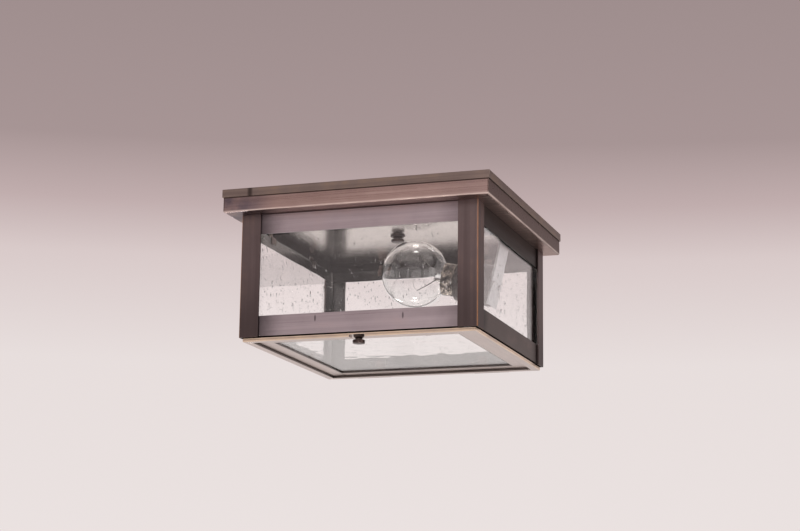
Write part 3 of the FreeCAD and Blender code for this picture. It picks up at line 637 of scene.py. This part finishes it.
def wavy_pane(name, node, seed):
    """A pane from its node's own box, whose two faces wave on their own."""
    low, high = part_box(node)
    size = high - low
    thin = min(range(3), key=lambda axis: size[axis])
    wide, tall = [axis for axis in range(3) if axis != thin]
    shape = bmesh.new()
    columns, rows = round(size[wide] / pane_cell), round(size[tall] / pane_cell)
    bmesh.ops.create_grid(shape, x_segments=columns, y_segments=rows, size=0.5)
    for vert in shape.verts:
        place = Vector((0, 0, 0))
        place[wide] = low[wide] + size[wide] * (vert.co.x + 0.5)
        place[tall] = low[tall] + size[tall] * (vert.co.y + 0.5)
        place[thin] = low[thin]
        vert.co = place
    pushed = bmesh.ops.extrude_face_region(shape, geom=shape.faces[:], use_keep_orig=True)
    moved = [v for v in pushed["geom"] if isinstance(v, bmesh.types.BMVert)]
    shift = Vector((0, 0, 0))
    shift[thin] = size[thin]
    bmesh.ops.translate(shape, vec=shift, verts=moved)
    for vert in shape.verts:
        outer = 1.0 if vert.co[thin] > (low[thin] + high[thin]) / 2 else 0.0
        inside = min(vert.co[wide] - low[wide], high[wide] - vert.co[wide],
                     vert.co[tall] - low[tall], high[tall] - vert.co[tall])
        if inside > 1e-6:
            wave = noise.noise(vert.co / wave_length + Vector((seed, 7.3 * outer, 0)))
            vert.co[thin] += (1.0 - 2.0 * outer) * wave_height * (1.0 + wave)
    piece = finished_mesh(name, shape)
    smooth_faces(piece, 60.0)
    return piece


def seeds(name, node, seed, drawn):
    """Air bubbles inside a pane: small ellipsoids, mostly round, some drawn out along the axis `drawn`."""
    low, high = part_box(node)
    size = high - low
    thin = min(range(3), key=lambda axis: size[axis])
    pick = random.Random(seed)
    ball = bmesh.new()
    bmesh.ops.create_uvsphere(ball, u_segments=8, v_segments=6, radius=1.0)
    bubble = bpy.data.meshes.new("bubble")
    ball.to_mesh(bubble)
    ball.free()
    shape = bmesh.new()
    for _ in range(bubble_count):
        radius = bubble_radius[0] + (bubble_radius[1] - bubble_radius[0]) * pick.random() ** 2
        length = radius * (1.0 + bubble_stretch * pick.random() ** 3)
        scale = [radius] * 3
        scale[drawn] = length
        inset = [bubble_depth if axis == thin else bubble_margin for axis in range(3)]
        centre = [pick.uniform(low[axis] + inset[axis], high[axis] - inset[axis]) for axis in range(3)]
        placed = bubble.copy()
        placed.transform(Matrix.LocRotScale(Vector(centre), None, Vector(scale)))
        shape.from_mesh(placed)
        bpy.data.meshes.remove(placed)
    bpy.data.meshes.remove(bubble)
    piece = finished_mesh(name, shape)
    for polygon in piece.data.polygons:
        polygon.use_smooth = True
    return piece


def bubble_air(name):
    """Air inside glass: light bends the other way at its wall."""
    made, place = new_material(name)
    haze = grain(place, 900.0, detail=1.0)
    bump = place.node("Bump", {}, {"Strength": 0.1, "Distance": 0.0001, "Height": haze})
    air = place.node("BsdfPrincipled", {}, {
        "Base Color": (1.0, 1.0, 1.0, 1.0), "Roughness": 0.0, "IOR": 1 / glass_index,
        "Transmission Weight": 1.0, "Normal": bump})
    shadow = place.node("LightPath", output=1)
    through = place.node("BsdfTransparent")
    return show(made, place.node("MixShader", {}, {0: shadow, 1: air, 2: through}))


pane_glass = clear_glass("seedy_glass", pane_tint)
air = bubble_air("air_bubble")
for number, side in enumerate(("front", "right", "back", "left")):
    node = "pane_" + side
    glass = wavy_pane(node + "_seedy", node, 3.1 * number)
    dress(glass, pane_glass, "fixture", "seedy_glass", node)
    bubbles = seeds(node + "_bubbles", node, 40 + number, 2)
    dress(bubbles, air, "fixture", "seedy_glass")

# ---------------------------------------------------------------- pane clips
# Folded brass clips hold each side pane against its rails. They are left in the dark patina of the inside.


def small_metal(name, dark, light, rough, metallic=1.0):
    """A finish for small parts: slightly cloudy, with fine unevenness."""
    made, place = new_material(name)
    clouds = grain(place, 300.0, detail=4.0)
    color = clouds.between(0.3, 0.7).mixed(dark, light)
    bump = place.node("Bump", {}, {"Strength": 0.12, "Distance": 0.0001, "Height": clouds})
    metal = place.node("BsdfPrincipled", {}, {
        "Base Color": color, "Metallic": metallic, "Roughness": rough + (clouds - 0.5) * 0.1, "Normal": bump})
    return show(made, metal)


def recoat(finish, *nodes):
    """Gives CAD nodes whose shape stays a new finish."""
    for node in nodes:
        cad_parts[node].data.materials.clear()
        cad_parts[node].data.materials.append(finish)


small_brass = small_metal("small_brass", (0.10, 0.072, 0.064), (0.23, 0.17, 0.15), 0.36)
recoat(small_brass, "pane_clips")

# ---------------------------------------------------------------- bottom door
# A square of wide brass strips with a narrow rim strip soldered under its outer edge. The glass lies on it,
# held by small folded clips. The front rim stops short on both sides of the thumb screw.

door_edge = 0.00018
rim_edge = 0.0003
knob_notch = 0.0126

rim_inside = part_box("door_rim_right")[0].x
opening_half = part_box("door_strip_right")[0].x
door_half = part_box("door_rim_right")[1].x


def door_crease_shade(place):
    """Painted shade: black in the corner under the rim, and along the edge of the glass opening."""
    out = far_out(place)
    rim_corner = out.between(rim_inside - 0.0011, rim_inside - 0.0005)
    rim_corner = rim_corner * (1.0 - out.between(rim_inside + 0.0002, rim_inside + 0.0005))
    return rim_corner.greater(1.0 - out.between(opening_half + 0.0003, opening_half + 0.0010))


def door_rim_wear_and_highlight(place):
    """The outer faces of the rim, rubbed bright, with a painted highlight on them."""
    return far_out(place).between(door_half - 0.0005, door_half - 0.0002) * 0.8


# The door's brass carries painted shade in its creases and a painted highlight on the rim's outer faces.
door_brass = {}
for run in (0, 1):
    door_brass[run] = aged_brass("door_brass_" + "xy"[run], run, (0.40, 0.335, 0.31), (0.60, 0.51, 0.475),
                                 copper=(0.95, 0.74, 0.52), rough=0.30, warm_amount=0.10, stain_and_shade=door_crease_shade,
                                 wear_and_highlight=door_rim_wear_and_highlight, glance=1.0)
for side in ("front", "right", "back", "left"):
    run = 0 if side in ("front", "back") else 1
    node = "door_strip_" + side
    strip = bar(node + "_flat", node, door_edge)
    dress(strip, door_brass[run], "door", "antique_brass", node)
for side in ("front", "right", "back", "left"):
    run = 0 if side in ("front", "back") else 1
    node = "door_rim_" + side
    shape = mitred_strip(node, rim_edge)
    if side == "front":
        # Two halves of the same strip, each cut off beside the knob.
        other = shape.copy()
        for half_rim, end in ((shape, -1.0), (other, 1.0)):
            cut = bmesh.ops.bisect_plane(
                half_rim, geom=half_rim.verts[:] + half_rim.edges[:] + half_rim.faces[:],
                plane_co=(end * knob_notch / 2, 0, 0), plane_no=(-end, 0, 0), clear_outer=True)
            edges = [e for e in cut["geom_cut"] if isinstance(e, bmesh.types.BMEdge)]
            bmesh.ops.holes_fill(half_rim, edges=edges)
        spare = bpy.data.meshes.new("other_half")
        other.to_mesh(spare)
        other.free()
        shape.from_mesh(spare)
        bpy.data.meshes.remove(spare)
    rim = finished_mesh(node + "_strip", shape)
    smooth_faces(rim)
    dress(rim, door_brass[run], "door", "antique_brass", node)
recoat(small_brass, "door_glass_clips")

door_glass_finish = clear_glass("door_seedy_glass", pane_tint)
glass = wavy_pane("door_glass_seedy", "door_glass", 17.0)
dress(glass, door_glass_finish, "door", "seedy_glass", "door_glass")
bubbles = seeds("door_glass_bubbles", "door_glass", 51, 0)
dress(bubbles, air, "door", "seedy_glass")

# ---------------------------------------------------------------- hinges and catch tab
# Two butt hinges at the back: leaves soldered to the rail and to the door strip, with a headed pin through
# their knuckles. The catch tab inside the front rail takes the door's thumb screw.

mm = 0.001
pin_length = 31.8
pin_radius = 0.8
pin_head_radius = 1.4
pin_head_edge = 0.2
pin_head = 0.6


def lathe(outline, closed=False, segments=48):
    """Turns an outline of (radius, height) corners, in millimetres, about Z."""
    shape = bmesh.new()
    corners = [shape.verts.new((radius * mm, 0, height * mm)) for radius, height in outline]
    pairs = list(zip(corners, corners[1:])) + ([(corners[-1], corners[0])] if closed else [])
    edges = [shape.edges.new(pair) for pair in pairs]
    bmesh.ops.spin(shape, geom=corners + edges, cent=(0, 0, 0), axis=(0, 0, 1), dvec=(0, 0, 0),
                   angle=2 * math.pi, steps=segments, use_merge=True)
    bmesh.ops.remove_doubles(shape, verts=shape.verts, dist=1e-7)
    return shape


def placed(shape, matrix):
    """A shape moved to its place."""
    bmesh.ops.transform(shape, matrix=matrix, verts=shape.verts)
    return shape


def together(shapes):
    """Several shapes as one."""
    whole = shapes[0]
    for shape in shapes[1:]:
        spare = bpy.data.meshes.new("spare")
        shape.to_mesh(spare)
        shape.free()
        whole.from_mesh(spare)
        bpy.data.meshes.remove(spare)
    return whole


recoat(small_brass, "hinge_body_leaves", "hinge_door_leaves", "catch_tab")
low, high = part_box("hinge_pins")
pin_middle = (low + high) / 2
pin_end = -pin_length / 2
pins = []
for side in (-1, 1):
    outline = [(0, pin_end), (pin_head_radius - pin_head_edge, pin_end),
               (pin_head_radius, pin_end + pin_head_edge), (pin_head_radius, pin_end + pin_head),
               (pin_radius, pin_end + pin_head)]
    outline += [(radius, -height) for radius, height in reversed(outline)]
    centre = (side * (high.x + pin_end * mm), pin_middle.y, pin_middle.z)
    turn = Matrix.Translation(centre) @ Matrix.Rotation(math.pi / 2, 4, "Y")
    pins.append(placed(lathe(outline, segments=24), turn))
hinge_pins = finished_mesh("hinge_pins_headed", together(pins))
smooth_faces(hinge_pins)
dress(hinge_pins, small_brass, "fixture", "antique_brass", "hinge_pins")

# ---------------------------------------------------------------- door thumb screw
# A turned brass spool, nearly black, with its threaded shank in one piece. A thin washer lies over it.

washer_gap = 0.15
washer_bore_gap = 0.3
washer_edge = 0.1
screw_radius = 2.08
screw_point = 0.5
thread_depth = 0.3
thread_pitch = 0.7
knob_brass = small_metal("knob_brass", (0.036, 0.025, 0.023), (0.105, 0.076, 0.070), 0.30)


def spool_outline(head, height, seat):
    """Cone, waist, flanged head and shallow dome, down from the seat, in millimetres."""
    return [
        (head * 0.84, seat), (head * 0.84, seat - 0.06 * height), (head * 0.57, seat - 0.3 * height),
        (head * 0.57, seat - 0.4 * height), (head - 0.3, seat - 0.46 * height), (head, seat - 0.5 * height),
        (head, seat - 0.88 * height), (head - 0.3, seat - 0.93 * height), (head * 0.66, seat - 0.97 * height),
        (head * 0.33, seat - 0.99 * height), (0, seat - height)]


def threaded_line(radius, low, high, pitch):
    """Outline corners of a shank, close enough for a thread."""
    count = max(2, round((high - low) / pitch * 5))
    return [(radius, low + (high - low) * step / count) for step in range(count + 1)]


def cut_thread(shape, radius, low, high, depth, pitch):
    """Moves a wall in along a helix between two heights, in millimetres, fading out at both ends."""
    for vert in shape.verts:
        height = vert.co.z / mm
        around = math.hypot(vert.co.x, vert.co.y) / mm
        if low < height < high and around > radius * 0.9:
            turn = math.atan2(vert.co.y, vert.co.x) / (2 * math.pi)
            groove = 0.5 - 0.5 * math.cos(2 * math.pi * (height / pitch - turn))
            fade = min(1.0, (height - low) / pitch, (high - height) / pitch)
            factor = 1.0 - depth * groove * fade / radius
            vert.co.x *= factor
            vert.co.y *= factor


def washer_piece(node, name, body):
    """A thin flat washer with softened edges, from its node's own box."""
    low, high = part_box(node)
    outer = (high.x - low.x) / 2 / mm
    thick = (high.z - low.z) / mm
    bore = screw_radius + washer_bore_gap
    outline = [(bore, 0), (outer - washer_edge, 0), (outer, washer_edge), (outer, thick - washer_edge),
               (outer - washer_edge, thick), (bore, thick)]
    middle = (low + high) / 2
    shape = placed(lathe(outline, closed=True), Matrix.Translation((middle.x, middle.y, low.z)))
    ring = finished_mesh(name, shape)
    smooth_faces(ring)
    dress(ring, knob_brass, body, "dark_knob", node)


low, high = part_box("door_knob")
knob_middle = (low + high) / 2
knob_head = (high.x - low.x) / 2 / mm
knob_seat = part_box("door_washer")[0].z / mm - washer_gap
knob_height = knob_seat - low.z / mm
shank_top = high.z / mm
outline = [(0, shank_top), (screw_radius - screw_point, shank_top), (screw_radius, shank_top - screw_point)]
outline += reversed(threaded_line(screw_radius, knob_seat, shank_top - screw_point - 0.1, thread_pitch))
outline += spool_outline(knob_head, knob_height, knob_seat)
shape = lathe(outline, segments=40)
cut_thread(shape, screw_radius, knob_seat + 0.3, shank_top - 0.1, thread_depth, thread_pitch)
placed(shape, Matrix.Translation((knob_middle.x, knob_middle.y, 0)))
door_knob = finished_mesh("door_thumb_screw_turned", shape)
smooth_faces(door_knob)
dress(door_knob, knob_brass, "door_thumb_screw", "dark_knob", "door_knob")
washer_piece("door_washer", "door_screw_washer_flat", "door_screw_washer")

# ---------------------------------------------------------------- ceiling fixing
# A slotted steel crossbar goes to the ceiling box. The threaded stud through its middle carries the lantern
# by a locknut, the inner ceiling and a dark thumb nut. A green screw takes the ground wire.

stud_point = 0.4
nut_bore_gap = 0.08
nut_floor = 0.3

zinc = small_metal("zinc_plate", (0.50, 0.51, 0.53), (0.66, 0.67, 0.68), 0.30)
ground_green = small_metal("green_screw", (0.02, 0.22, 0.08), (0.03, 0.30, 0.11), 0.35)
recoat(zinc, "crossbar", "stud_locknut")
recoat(ground_green, "ground_screw")

low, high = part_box("centre_stud")
stud_low, stud_high = low.z / mm, high.z / mm
outline = [(0, stud_low), (screw_radius - stud_point, stud_low)]
outline += threaded_line(screw_radius, stud_low + stud_point, stud_high - stud_point, thread_pitch)
outline += [(screw_radius - stud_point, stud_high), (0, stud_high)]
shape = lathe(outline, segments=24)
cut_thread(shape, screw_radius, stud_low + 0.2, stud_high - 0.2, thread_depth, thread_pitch)
stud = finished_mesh("centre_stud_threaded", shape)
smooth_faces(stud)
dress(stud, zinc, "fixture", "zinc_steel", "centre_stud")

low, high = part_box("centre_knob")
nut_head = (high.x - low.x) / 2 / mm
nut_seat = high.z / mm
nut_height = nut_seat - low.z / mm
nut_bore = screw_radius + nut_bore_gap
nut_depth = stud_low - nut_floor
outline = spool_outline(nut_head, nut_height, nut_seat) + [
    (0, nut_depth), (nut_bore, nut_depth), (nut_bore, nut_seat), (nut_head * 0.84, nut_seat)]
centre_knob = finished_mesh("stud_thumb_nut_turned", lathe(outline, segments=40))
smooth_faces(centre_knob)
dress(centre_knob, knob_brass, "stud_thumb_nut", "dark_knob", "centre_knob")
washer_piece("centre_washer", "stud_washer_flat", "stud_washer")

# ---------------------------------------------------------------- lead bushing
# A black plastic bushing lines the hole where the supply leads pass through the pan and the plate.

bushing_bore = 4.0
bushing_bore_edge = 0.5
bushing_sleeve = 5.2
flange_thickness = 1.4
flange_edge = 0.6

low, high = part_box("lead_bushing")
middle = (low + high) / 2
flange = (high.x - low.x) / 2 / mm
half_outline = [(bushing_bore + bushing_bore_edge, 0), (flange - flange_edge, 0), (flange, flange_edge),
                (flange, flange_thickness), (bushing_sleeve, flange_thickness)]
bottom, top = low.z / mm, high.z / mm
outline = [(radius, bottom + height) for radius, height in half_outline]
outline += [(radius, top - height) for radius, height in reversed(half_outline)]
outline += [(bushing_bore, top - bushing_bore_edge), (bushing_bore, bottom + bushing_bore_edge)]
shape = placed(lathe(outline, closed=True), Matrix.Translation((middle.x, middle.y, 0)))
bushing = finished_mesh("lead_bushing_moulded", shape)
smooth_faces(bushing)
bushing_plastic = small_metal(
    "bushing_plastic", (0.02, 0.02, 0.022), (0.035, 0.035, 0.038), 0.5, metallic=0.0)
dress(bushing, bushing_plastic, "fixture", "bushing_plastic", "lead_bushing")

# ---------------------------------------------------------------- lampholder
# A dark moulded lampholder with a brass screw shell and a sprung contact tongue, screwed to a bent zinc
# bracket that hangs from the inner ceiling and tilts the bulb a little downwards.

globe_centre = Vector((0.0152, 0.0, -0.052))
bulb_tilt = 12.0
bulb_axis = Matrix.Translation(globe_centre) @ Matrix.Rotation(math.radians(90 + bulb_tilt), 4, "Y")
holder_mouth = 37.0
holder_step = (48.0, 50.0)
holder_floor = 55.4
holder_back = 65.0
holder_radius = 15.6
holder_base = 16.6
holder_edge = 0.3
bore_radius = 13.95
shell_radius = 13.45
shell_gap = 0.02
shell_ends = (38.5, 51.5)

moulding = small_metal("brown_moulding", (0.040, 0.031, 0.029), (0.072, 0.058, 0.054), 0.32, metallic=0.0)
yellow_brass = small_metal("yellow_brass", (0.55, 0.38, 0.16), (0.72, 0.53, 0.26), 0.28)
outline = [(bore_radius, holder_mouth), (holder_radius - 1, holder_mouth),
           (holder_radius - holder_edge, holder_mouth + holder_edge), (holder_radius, holder_mouth + 1),
           (holder_radius, holder_step[0]), (holder_base, holder_step[1]), (holder_base, holder_back - 1),
           (holder_base - holder_edge, holder_back - holder_edge), (holder_base - 1, holder_back),
           (0, holder_back), (0, holder_floor), (bore_radius, holder_floor), (bore_radius, holder_mouth)]
shape = placed(lathe(outline, segments=64), bulb_axis)
holder = finished_mesh("lampholder_moulded", shape)
smooth_faces(holder)
dress(holder, moulding, "fixture", "holder_moulding", "lampholder_body")

outline = [(shell_radius, shell_ends[0]), (bore_radius - shell_gap, shell_ends[0]),
           (bore_radius - shell_gap, shell_ends[1]), (shell_radius, shell_ends[1])]
shape = placed(lathe(outline, closed=True, segments=64), bulb_axis)
shell = finished_mesh("lampholder_shell_turned", shape)
smooth_faces(shell)
dress(shell, yellow_brass, "fixture", "holder_brass", "lampholder_shell")
recoat(yellow_brass, "lampholder_contact")
recoat(zinc, "lampholder_bracket", "lampholder_screws", "bracket_screws", "bracket_nuts")

# ---------------------------------------------------------------- bulb
# A clear globe of blown glass on a short neck, with a glass stem, two lead wires and the arched filament
# inside. The aluminium cap has a rolled thread, a black glass end and a soldered contact.

globe_radius = 27.0
globe_wall = 0.8
neck_radius = 12.3
neck_depth = 4.0
stem_radius = 3.2
press = 17.0
cap_start = 26.0
cap_length = 22.5
cap_radius = 13.1
cap_wall = 0.4
cap_thread_depth = 0.75
cap_thread_pitch = 3.63
cap_end_radius = 9.6
end_glass_radius = 9.2
contact_height = 2.2
wire_radius = 0.35
filament_radius = 0.12
filament_half = 12.7
filament_height = 4.5
filament_arch = 6.0
filament_points = 9


def globe_outline(radius, neck, end):
    """Half outline of globe and neck, from the tip to the open end."""
    steps = 40
    shoulder = math.acos((neck + 1.2) / radius)
    turns = [-math.pi / 2 + (shoulder + math.pi / 2) * step / steps for step in range(steps + 1)]
    line = [(radius * math.cos(turn), radius * math.sin(turn)) for turn in turns]
    line[0] = (0, -radius)
    meet = line[-1][1]
    return line + [(neck + 0.5, meet + 0.9), (neck, meet + 2.0), (neck, end)]


outer = globe_outline(globe_radius, neck_radius, cap_start + neck_depth)
inner = globe_outline(globe_radius - globe_wall, neck_radius - globe_wall, cap_start + neck_depth)
globe = finished_mesh("bulb_globe_blown", placed(lathe(outer + inner[::-1], segments=96), bulb_axis))
smooth_faces(globe, 60.0)
bulb_glass = clear_glass("bulb_glass", (0.99, 0.99, 0.99))
dress(globe, bulb_glass, "bulb", "bulb_glass", "bulb_globe")

flare = neck_radius - globe_wall - 0.1
root = cap_start + 3.0
outline = [(0, press), (1.6, press + 0.15), (2.4, press + 0.6), (stem_radius, press + 2.0),
           (stem_radius, 20.5), (3.5, 23.2), (4.3, 25.4), (5.6, 27.2), (8.0, 28.5), (flare, root), (0, root)]
stem = finished_mesh("bulb_stem_drawn", placed(lathe(outline, segments=64), bulb_axis))
smooth_faces(stem, 60.0)
dress(stem, bulb_glass, "bulb", "bulb_glass", "bulb_stem")


def wire_run(points, radius, order):
    """A round wire along points in millimetres, as a bmesh."""
    curve = bpy.data.curves.new("wire", "CURVE")
    curve.dimensions = "3D"
    curve.bevel_depth = radius * mm
    curve.bevel_resolution = 3
    curve.use_fill_caps = True
    spline = curve.splines.new("NURBS")
    spline.points.add(len(points) - 1)
    for point, place in zip(spline.points, points):
        point.co = (*(value * mm for value in place), 1.0)
    spline.order_u = order
    spline.use_endpoint_u = True
    thing = bpy.data.objects.new("wire", curve)
    bpy.context.collection.objects.link(thing)
    made = bpy.data.meshes.new_from_object(thing)
    shape = bmesh.new()
    shape.from_mesh(made)
    bpy.data.objects.remove(thing)
    bpy.data.curves.remove(curve)
    bpy.data.meshes.remove(made)
    return shape


wires = []
for side in (-1, 1):
    wires.append(wire_run([
        (side * 1.4, 0, press + 1.5), (side * 3.4, 0, press - 0.5), (side * 8.0, 0, 11.2),
        (side * 10.6, 0, 7.2), (side * filament_half, 0, filament_height)], wire_radius, 3))
coil = []
for step in range(filament_points):
    turn = math.pi * step / (filament_points - 1)
    coil.append((-filament_half * math.cos(turn), 0, filament_height - filament_arch * math.sin(turn)))
wires.append(wire_run(coil, filament_radius, 4))
lead_wires = finished_mesh("bulb_wires", placed(together(wires), bulb_axis))
smooth_faces(lead_wires, 60.0)
tungsten = small_metal("tungsten", (0.10, 0.09, 0.085), (0.20, 0.18, 0.17), 0.30)
dress(lead_wires, tungsten, "bulb", "filament", "bulb_filament")


def crinkled(name):
    """Thin rolled metal, dented all over by its punches, dull and brownish after long heat."""
    made, place = new_material(name)
    dents = grain(place, 330.0, detail=2.0)
    spots = grain(place, 260.0, detail=3.0)
    color = spots.between(0.35, 0.65).mixed((0.045, 0.036, 0.033), (0.46, 0.41, 0.36))
    bump = place.node("Bump", {}, {"Strength": 1.0, "Distance": 0.0022, "Height": dents})
    metal = place.node("BsdfPrincipled", {}, {
        "Base Color": color, "Metallic": 1.0, "Roughness": 0.16 + spots * 0.16, "Normal": bump})
    return show(made, metal)


cap_end = cap_start + cap_length
thread_start = cap_start + 4.2
thread_end = cap_end - 2.0
thread_root = cap_radius - cap_thread_depth
cap_bore = neck_radius + 0.05
outline = [(cap_radius - 0.15, cap_start), (cap_radius, cap_start + 0.2), (cap_radius, cap_start + 3.2),
           (cap_radius - 0.5, thread_start - 0.3)]
outline += threaded_line(cap_radius, thread_start, thread_end - 0.1, cap_thread_pitch / 2)
outline += [(thread_root, thread_end), (cap_end_radius, cap_end), (cap_end_radius - cap_wall, cap_end),
            (thread_root - cap_wall, thread_end - cap_wall), (cap_bore, thread_start - 0.2),
            (cap_bore, cap_start)]
shape = lathe(outline, closed=True, segments=72)
cut_thread(shape, cap_radius, thread_start - 0.2, thread_end, cap_thread_depth, cap_thread_pitch)
cap = finished_mesh("bulb_cap_rolled", placed(shape, bulb_axis))
smooth_faces(cap, 50.0)
cap_aluminium = crinkled("cap_aluminium")
dress(cap, cap_aluminium, "bulb", "bulb_cap", "bulb_cap")

outline = [(0, cap_end - 0.6), (end_glass_radius, cap_end - 0.6), (end_glass_radius, cap_end),
           (end_glass_radius - 0.4, cap_end + 0.6), (7.0, cap_end + 1.5), (4.6, cap_end + contact_height),
           (0, cap_end + contact_height)]
insulator = finished_mesh("bulb_cap_glass", placed(lathe(outline), bulb_axis))
smooth_faces(insulator)
black_glass = small_metal("black_glass", (0.010, 0.010, 0.012), (0.020, 0.020, 0.022), 0.12, metallic=0.0)
dress(insulator, black_glass, "bulb", "cap_insulator", "bulb_cap_insulator")

seat = cap_end + contact_height
outline = [(0, seat), (4.4, seat), (4.2, seat + 0.55), (3.2, seat + 0.8), (1.6, seat + 0.95), (0, seat + 1.0)]
contact = finished_mesh("bulb_contact_soldered", placed(lathe(outline), bulb_axis))
smooth_faces(contact)
solder = small_metal("solder", (0.45, 0.45, 0.46), (0.62, 0.62, 0.63), 0.3)
dress(contact, solder, "bulb", "solder", "bulb_contact")
